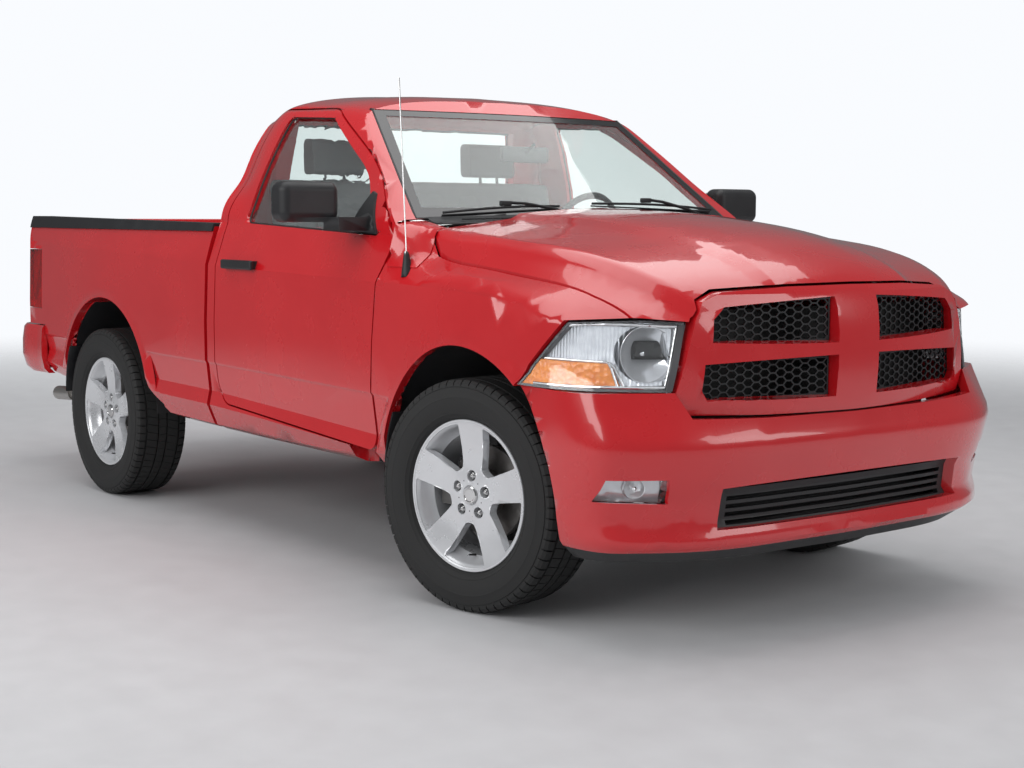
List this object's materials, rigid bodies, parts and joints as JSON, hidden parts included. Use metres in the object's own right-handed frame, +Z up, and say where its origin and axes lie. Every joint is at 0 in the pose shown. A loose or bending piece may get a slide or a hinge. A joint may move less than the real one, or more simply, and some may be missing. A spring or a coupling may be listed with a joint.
{
  "type": "pickup truck",
  "caption": "Full-size pickup truck with a two-door cab, short open load bed, steered front wheels, opening doors, hood and tailgate.",
  "frame": {"origin": "on the ground, under the middle of the overall length and width", "axes": "+X forward, +Y to the vehicle's left, +Z up"},
  "size_m": [5.307, 2.528, 1.9355],
  "materials": {
    "body_paint": "gloss red",
    "cab_inner": "dark grey lining",
    "bare_steel": "machined",
    "clear_glass": "polished",
    "black_plastic": "fine grain",
    "lamp_glass": "polished",
    "lamp_housing": "bright",
    "black_steel": "satin black",
    "red_plastic": "gloss",
    "cast_metal": "as cast",
    "exhaust_steel": "dull",
    "seat_cloth": "woven",
    "bright_steel": "bright",
    "tyre_rubber": "matte",
    "wheel_alloy": "painted silver"
  },
  "bodies": {
    "chassis": {"fenders": "body_paint", "roof": "body_paint", "cab_floor": "cab_inner", "firewall": "cab_inner", "cab_back": "body_paint", "body_sides": "body_paint", "hinges": "bare_steel", "cab_glass": "clear_glass", "front_bumper": "body_paint", "front_valance": "black_plastic", "grille_surround": "body_paint", "grille_mesh": "black_plastic", "lamp_lenses": "lamp_glass", "headlamps": "lamp_housing", "front_support": "black_steel", "bedsides": "body_paint", "tail_lamps": "red_plastic", "bed_box": "body_paint", "bed_rail_caps": "black_plastic", "rear_bumper": "body_paint", "frame": "black_steel", "powertrain": "cast_metal", "rear_axle": "black_steel", "rear_suspension": "black_steel", "front_suspension": "black_steel", "exhaust": "exhaust_steel", "fuel_tank": "black_plastic", "arch_liners": "black_plastic", "seat": "seat_cloth", "dashboard": "black_plastic", "antenna": "bright_steel"},
    "door_left_body": {"door_left": "body_paint", "door_glass_left": "clear_glass", "door_trim_left": "black_plastic"},
    "door_right_body": {"door_right": "body_paint", "door_glass_right": "clear_glass", "door_trim_right": "black_plastic"},
    "hood_body": {"hood": "body_paint"},
    "tailgate_body": {"tailgate": "body_paint"},
    "knuckle_left_body": {"knuckle_left": "cast_metal"},
    "knuckle_right_body": {"knuckle_right": "cast_metal"},
    "steering_wheel_body": {"steering_wheel": "black_plastic"},
    "wheel_front_left_body": {"tyre_front_left": "tyre_rubber", "wheel_front_left": "wheel_alloy", "disc_front_left": "bare_steel"},
    "wheel_front_right_body": {"tyre_front_right": "tyre_rubber", "wheel_front_right": "wheel_alloy", "disc_front_right": "bare_steel"},
    "wheel_rear_left_body": {"tyre_rear_left": "tyre_rubber", "wheel_rear_left": "wheel_alloy", "disc_rear_left": "bare_steel"},
    "wheel_rear_right_body": {"tyre_rear_right": "tyre_rubber", "wheel_rear_right": "wheel_alloy", "disc_rear_right": "bare_steel"}
  },
  "joints": [
    {"name": "door_left_hinge", "type": "hinge", "parent": "chassis", "child": "door_left_body", "pos_m": [1.0195, 0.946, 0.8], "axis": [0, 0, -1], "range_deg": [0, 62]},
    {"name": "door_right_hinge", "type": "hinge", "parent": "chassis", "child": "door_right_body", "pos_m": [1.0195, -0.946, 0.8], "axis": [0, 0, 1], "range_deg": [0, 62]},
    {"name": "hood_hinge", "type": "hinge", "parent": "chassis", "child": "hood_body", "pos_m": [1.2245, 0, 1.345], "axis": [0, -1, 0], "range_deg": [0, 45]},
    {"name": "tailgate_hinge", "type": "hinge", "parent": "chassis", "child": "tailgate_body", "pos_m": [-2.3645, 0, 0.849], "axis": [0, -1, 0], "range_deg": [0, 90]},
    {"name": "steer_left", "type": "hinge", "parent": "chassis", "child": "knuckle_left_body", "pos_m": [1.6445, 0.753, 0.416], "axis": [0, 0, 1], "range_deg": [-44.5, 23.5]},
    {"name": "steer_right", "type": "hinge", "parent": "chassis", "child": "knuckle_right_body", "pos_m": [1.6445, -0.753, 0.416], "axis": [0, 0, 1], "range_deg": [-44.5, 23.5]},
    {"name": "steering_wheel_turn", "type": "hinge", "parent": "chassis", "child": "steering_wheel_body", "pos_m": [0.6105, 0.447, 1.331], "axis": [-0.9, 0, 0.436], "range_deg": [-712, 376]},
    {"name": "spin_front_left", "type": "hinge", "parent": "knuckle_left_body", "child": "wheel_front_left_body", "pos_m": [1.62409, 0.86312, 0.416], "axis": [-0.1822, 0.9833, 0], "continuous": true},
    {"name": "spin_front_right", "type": "hinge", "parent": "knuckle_right_body", "child": "wheel_front_right_body", "pos_m": [1.66491, -0.86312, 0.416], "axis": [-0.1822, 0.9833, 0], "continuous": true},
    {"name": "spin_rear_left", "type": "hinge", "parent": "chassis", "child": "wheel_rear_left_body", "pos_m": [-1.4165, 0.857, 0.416], "axis": [0, 1, 0], "continuous": true},
    {"name": "spin_rear_right", "type": "hinge", "parent": "chassis", "child": "wheel_rear_right_body", "pos_m": [-1.4165, -0.857, 0.416], "axis": [0, 1, 0], "continuous": true}
  ],
  "couplings": [
    {"joint": "steer_right", "follows": "steer_left", "ratio": 1},
    {"joint": "steering_wheel_turn", "follows": "steer_left", "ratio": 16}
  ]
}
